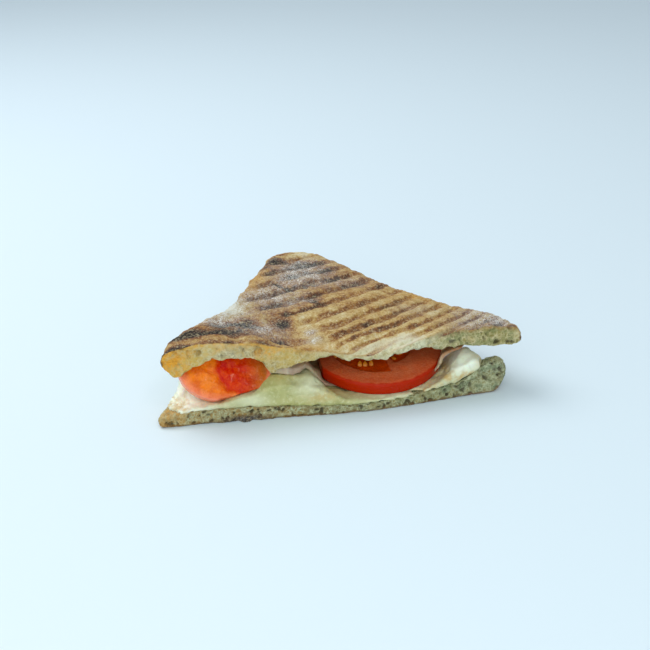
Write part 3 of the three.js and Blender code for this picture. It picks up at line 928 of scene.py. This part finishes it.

# %% [markdown]
# Deep pores are painted dark, as painted shade in the hollows. Right under the crust runs a broken
# toasted line, which follows the stored depth, and last come the soaked and the creamy places. Then
# crust and crumb go out together.

# %% Bread group: pores, the toasted line and what goes out
painted_pore_shade = ranged(bread, mask(bread, "pore"), From_Min=0.2, From_Max=0.65, To_Max=0.88)
crumb = mix(bread, painted_pore_shade, crumb, (0.07, 0.055, 0.025))
uneven = reckon(bread, "MULTIPLY", speckle(bread, 4, 0.3, 0.7), 1.2)
depth = reckon(bread, "SUBTRACT", mask(bread, "skin_depth"), uneven)
line = ranged(bread, depth, From_Max=given["Line width"], To_Min=0.95, To_Max=0)
broken = ranged(bread, speckle(bread, 2.2, 0.35, 0.6), To_Min=0.35, To_Max=1.0)
line = reckon(bread, "MULTIPLY", line, reckon(bread, "MULTIPLY", mask(bread, "edge"), broken))
crumb = mix(bread, line, crumb, mix(bread, side, given["Line left"], given["Line right"]))
crumb = mix(bread, patchy(bread, "amber", 4.5, 0.36, 0.6), crumb, (0.92, 0.42, 0.045))
# On the crumb at the upper slice's lip this creamy colour is painted light.
crumb = mix(bread, patchy(bread, "pale", 2.5, 0.25, 0.6), crumb, (0.88, 0.84, 0.58))
relief = reckon(bread, "ADD", toast.outputs["Height"], speckle(bread, 0.7, 0.2, 0.8))
raised_web = reckon(bread, "MULTIPLY", webbed, mask(bread, "crumb"))
relief = reckon(bread, "MULTIPLY_ADD", raised_web, 2.0, relief)
wire(bread, made, Color=mix(bread, mask(bread, "crumb"), crust, crumb), Height=relief)
print("bread group:", len(bread.nodes), "nodes")

# %% [markdown]
# Each slice sets its own heat and crumb colours. The upper one is golden with a yellow crumb that
# turns darker and greenish to the right; its darker right crumb and line colours are painted shade
# under the drooping lip. The lower one is hotter below and greyer inside; its dark grey-green crumb
# is partly wet crumb and partly painted shade.

# %% Bread materials


def bread_material(name, **values):
    material, tree, shader = new_material(name)
    slice_look = add(tree, "Group", {"node_tree": bread}, **values).outputs
    wire(
        tree, shader, Base_Color=slice_look["Color"], Roughness=0.85, Specular_IOR_Level=0.3,
        Normal=dented(tree, slice_look["Height"], 0.7, 0.0006),
    )
    return material


upper_slice.data.materials.append(bread_material(
    "grilled_crust", Heat=0.3, Line_width=2.1, Crumb_left=(0.7, 0.47, 0.1), Crumb_right=(0.28, 0.28, 0.1),
    Strands=(0.8, 0.7, 0.4), Line_left=(0.86, 0.44, 0.06), Line_right=(0.44, 0.22, 0.06),
))
# This crumb's dark grey-green colours are partly wet crumb and partly painted shade.
lower_slice.data.materials.append(bread_material(
    "lower_crumb", Heat=0.55, Line_width=0.9, Crumb_left=(0.36, 0.25, 0.1), Crumb_right=(0.16, 0.2, 0.09),
    Strands=(0.64, 0.7, 0.44), Line_left=(0.2, 0.1, 0.03), Line_right=(0.2, 0.1, 0.03),
))
print("bread materials:", upper_slice.data.materials[0].name, lower_slice.data.materials[0].name)

# %% [markdown]
# ### Cheese
# Melted cheese lets light in a little way, which subsurface scattering gives, and its skin is
# greasy. Its colour is yellow-green at the cut and painted warmer behind, against the cool light
# that falls there, with the white, browned and pink places on top and small paler clots all over.

# %% Cheese material
material, tree, shader = new_material("melted_cheese")
colour = mix(tree, speckle(tree, 7, 0.3, 0.7), (0.37, 0.36, 0.1), (0.5, 0.48, 0.19))
# Behind the cut the colour is painted warmer, against the cool light that falls there.
colour = mix(tree, reckon(tree, "MULTIPLY", mask(tree, "behind"), 0.8), colour, (0.68, 0.56, 0.26))
# This white is thick cheese, and at the right end and below the ham's fold a painted highlight.
colour = mix(tree, mask(tree, "white"), colour, (0.88, 0.92, 0.76))
colour = mix(tree, patchy(tree, "browned", 3, 0.35, 0.6), colour, (0.56, 0.34, 0.08))
colour = mix(tree, patchy(tree, "pink", 1.8, 0.45, 0.65), colour, (0.95, 0.7, 0.55))
clots = reckon(tree, "MULTIPLY", speckle(tree, 1.6, 0.5, 0.7), 0.35)
wire(
    tree, shader, Base_Color=mix(tree, clots, colour, (0.78, 0.78, 0.5)),
    Roughness=ranged(tree, speckle(tree, 5, 0.3, 0.7), To_Min=0.28, To_Max=0.5),
    Subsurface_Weight=0.25, Subsurface_Radius=(1.0, 0.7, 0.35), Subsurface_Scale=0.003,
    Normal=dented(tree, speckle(tree, 2.4, 0.2, 0.8), 0.3, 0.0005),
)
cheese.data.materials.append(material)
print("cheese material:", len(tree.nodes), "nodes")

# %% [markdown]
# ### Ham
# Cooked ham is pink and mottled, browned where it touched the heat, and smeared with cheese
# where it folds. It is moist, so it is smoother than bread and rougher than tomato.

# %% Ham material
material, tree, shader = new_material("cooked_ham")
colour = mix(tree, speckle(tree, 4, 0.3, 0.7), (0.4, 0.27, 0.2), (0.52, 0.38, 0.28))
colour = mix(tree, patchy(tree, "browned", 2.5, 0.2, 0.5), colour, (0.48, 0.17, 0.035))
wire(
    tree, shader, Base_Color=mix(tree, patchy(tree, "cheesy", 2.2, 0.35, 0.55), colour, (0.6, 0.56, 0.34)),
    Roughness=0.38, Subsurface_Weight=0.15, Subsurface_Scale=0.002,
    Normal=dented(tree, speckle(tree, 1.2, 0.2, 0.8), 0.4, 0.0004),
)
ham.data.materials.append(material)
print("ham material:", len(tree.nodes), "nodes")

# %% [markdown]
# ### Wet flesh, as a shader group
# Both tomato slices share one law: red glossy skin, a paler grainy wall, and clear deep-red jelly.
# The group mixes them by the stored masks, and each slice sets its own four colours.

# %% Flesh group
flesh, given, made = new_group(
    "tomato_flesh", [(name, "Color") for name in ("Wall", "Rim", "Skin", "Jelly")],
    [("Color", "Color"), ("Roughness", "Float"), ("Height", "Float")],
)
grains = speckle(flesh, 1.0, 0.35, 0.65)
outer = ranged(flesh, mask(flesh, "radius"), From_Min=0.78, From_Max=0.94)
wall = mix(flesh, outer, given["Wall"], given["Rim"])
wall = mix(flesh, reckon(flesh, "MULTIPLY", speckle(flesh, 5, 0.4, 0.6), 0.4), wall, given["Jelly"])
wall = mix(flesh, reckon(flesh, "MULTIPLY", grains, 0.15), wall, (0.95, 0.4, 0.16))
bright = reckon(flesh, "MULTIPLY", speckle(flesh, 3.5, 0.4, 0.65), 0.6)
inner = mix(flesh, bright, given["Jelly"], (0.85, 0.09, 0.0))
inner = mix(flesh, reckon(flesh, "MULTIPLY", mask(flesh, "dull"), 0.8), inner, (0.42, 0.15, 0.015))
colour = mix(flesh, mask(flesh, "jelly"), wall, inner)
wire(
    flesh, made, Color=mix(flesh, mask(flesh, "skin"), colour, given["Skin"]),
    Roughness=ranged(flesh, grains, To_Min=0.05, To_Max=0.22), Height=grains,
)
print("flesh group:", len(flesh.nodes), "nodes")

# %% [markdown]
# Juice on the flesh gives small sharp glints, which a thin coat adds, while the flesh below it
# reflects little, so that its red stays deep.

# %% Tomato and seed materials


def tomato_material(name, shine, **colours):
    material, tree, shader = new_material(name)
    slice_look = add(tree, "Group", {"node_tree": flesh}, **colours).outputs
    wire(
        tree, shader, Base_Color=slice_look["Color"], Roughness=slice_look["Roughness"],
        Specular_IOR_Level=shine, Coat_Weight=0.22, Coat_Roughness=0.04, Coat_IOR=1.3,
        Subsurface_Weight=0.12, Subsurface_Radius=(1.0, 0.15, 0.03), Subsurface_Scale=0.004,
        Normal=dented(tree, slice_look["Height"], 0.45, 0.0004),
    )
    return material


round_tomato.data.materials.append(tomato_material(
    "round_tomato", 0.07, Wall=(0.62, 0.125, 0.045), Rim=(0.62, 0.1, 0.035), Skin=(0.47, 0.018, 0.0),
    Jelly=(0.62, 0.06, 0.002),
))
oval_tomato.data.materials.append(tomato_material(
    "oval_tomato", 0.05, Wall=(1.0, 0.22, 0.0), Rim=(1.0, 0.27, 0.11), Skin=(1.0, 0.3, 0.18),
    Jelly=(0.6, 0.006, 0.0),
))
material, tree, shader = new_material("tomato_seed")
seed_colour = mix(tree, speckle(tree, 2, 0.3, 0.7), (0.75, 0.2, 0.01), (0.8, 0.28, 0.02))
wire(tree, shader, Base_Color=seed_colour, Roughness=0.25)
tomato_seeds.data.materials.clear()
tomato_seeds.data.materials.append(material)
print("materials:", len(bpy.data.materials))

# %% [markdown]
# ## Tying the pieces to the frame
# Every piece rides on the one body of this part. All but the seeds also stand for one of the frame's
# solids, which they replace.

# %% Ride and replace
stand_ins = (
    (upper_slice, "bread_top"), (lower_slice, "bread_bottom"), (cheese, "cheese"), (ham, "ham"),
    (round_tomato, "tomato_right"), (oval_tomato, "tomato_left"),
)
for piece, node in stand_ins:
    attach(piece, "root")
    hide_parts(node)
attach(tomato_seeds, "root")
print("pieces tied:", len(stand_ins) + 1)

# %% [markdown]
# ## Camera
# The camera looks from in front of the cut and a little above it, with a slight roll, through a
# narrow angle of view, as a lens for food does. Its three directions are worked out from where
# it stands and what it looks at.

# %% Camera
view_point = in_metres(-130.4, -662.0, 317.8)
look_at = in_metres(17.3, 84.4, 12.0)
roll, angle_of_view = -1.571, 25
forward = (look_at - view_point).normalized()
right = forward.cross(Vector((0, 0, 1))).normalized()
up = right.cross(forward)
stand = Matrix((right, up, -forward)).transposed() @ Matrix.Rotation(math.radians(roll), 3, "Z")
camera_data = bpy.data.cameras.new("camera")
camera_data.angle = math.radians(angle_of_view)
camera_data.clip_start = 0.01
camera = bpy.data.objects.new("camera", camera_data)
camera.matrix_world = Matrix.Translation(view_point) @ stand.to_4x4()
bpy.context.scene.collection.objects.link(camera)
bpy.context.scene.camera = camera
print("camera distance in m:", round((look_at - view_point).length, 2))

# %% [markdown]
# ## Floor and light
# The light is that of a bright, cool, overcast room: a pale world, one broad lamp from behind on
# the left, one from the front, and a small one for glints on wet tomato. The floor is plain.

# %% Floor and world
let_go()
bpy.ops.mesh.primitive_plane_add(size=6, location=(0, 0, 0))
floor = bpy.context.object
floor.name = "floor"
material, tree, shader = new_material("pale_floor")
wire(tree, shader, Base_Color=(0.74, 0.84, 0.89), Roughness=0.6)
floor.data.materials.append(material)

world = bpy.data.worlds.new("pale_room")
bpy.context.scene.world = world
world.use_nodes = True
wire(world.node_tree, world.node_tree.nodes["Background"], Color=(0.82, 0.92, 1.0), Strength=0.54)
bpy.context.scene.view_settings.view_transform = "Standard"
print("floor of", floor.dimensions.x, "m")

# %% [markdown]
# Area lamps give shadows soft edges, as a window does. All three aim at one place in the middle
# of the sandwich, so the helper turns each lamp to it.

# %% Lamps
lit_place = Vector((0, 0, 0.02))


def lamp(name, place, size, power, colour):
    light = bpy.data.lights.new(name, "AREA")
    light.size, light.energy, light.color = size, power, colour
    holder = bpy.data.objects.new(name, light)
    holder.location = place
    holder.rotation_euler = (lit_place - Vector(place)).to_track_quat("-Z", "Y").to_euler()
    bpy.context.scene.collection.objects.link(holder)


lamp("window", (-0.5, 0.5, 1.0), 0.9, 9, (0.93, 0.97, 1.0))
lamp("fill", (-0.25, -1.0, 0.5), 1.0, 5.2, (0.93, 1.0, 0.96))
lamp("glint", (0.1, -0.9, 0.9), 0.1, 1.0, (1.0, 1.0, 1.0))
print("lamps:", len(bpy.data.lights))
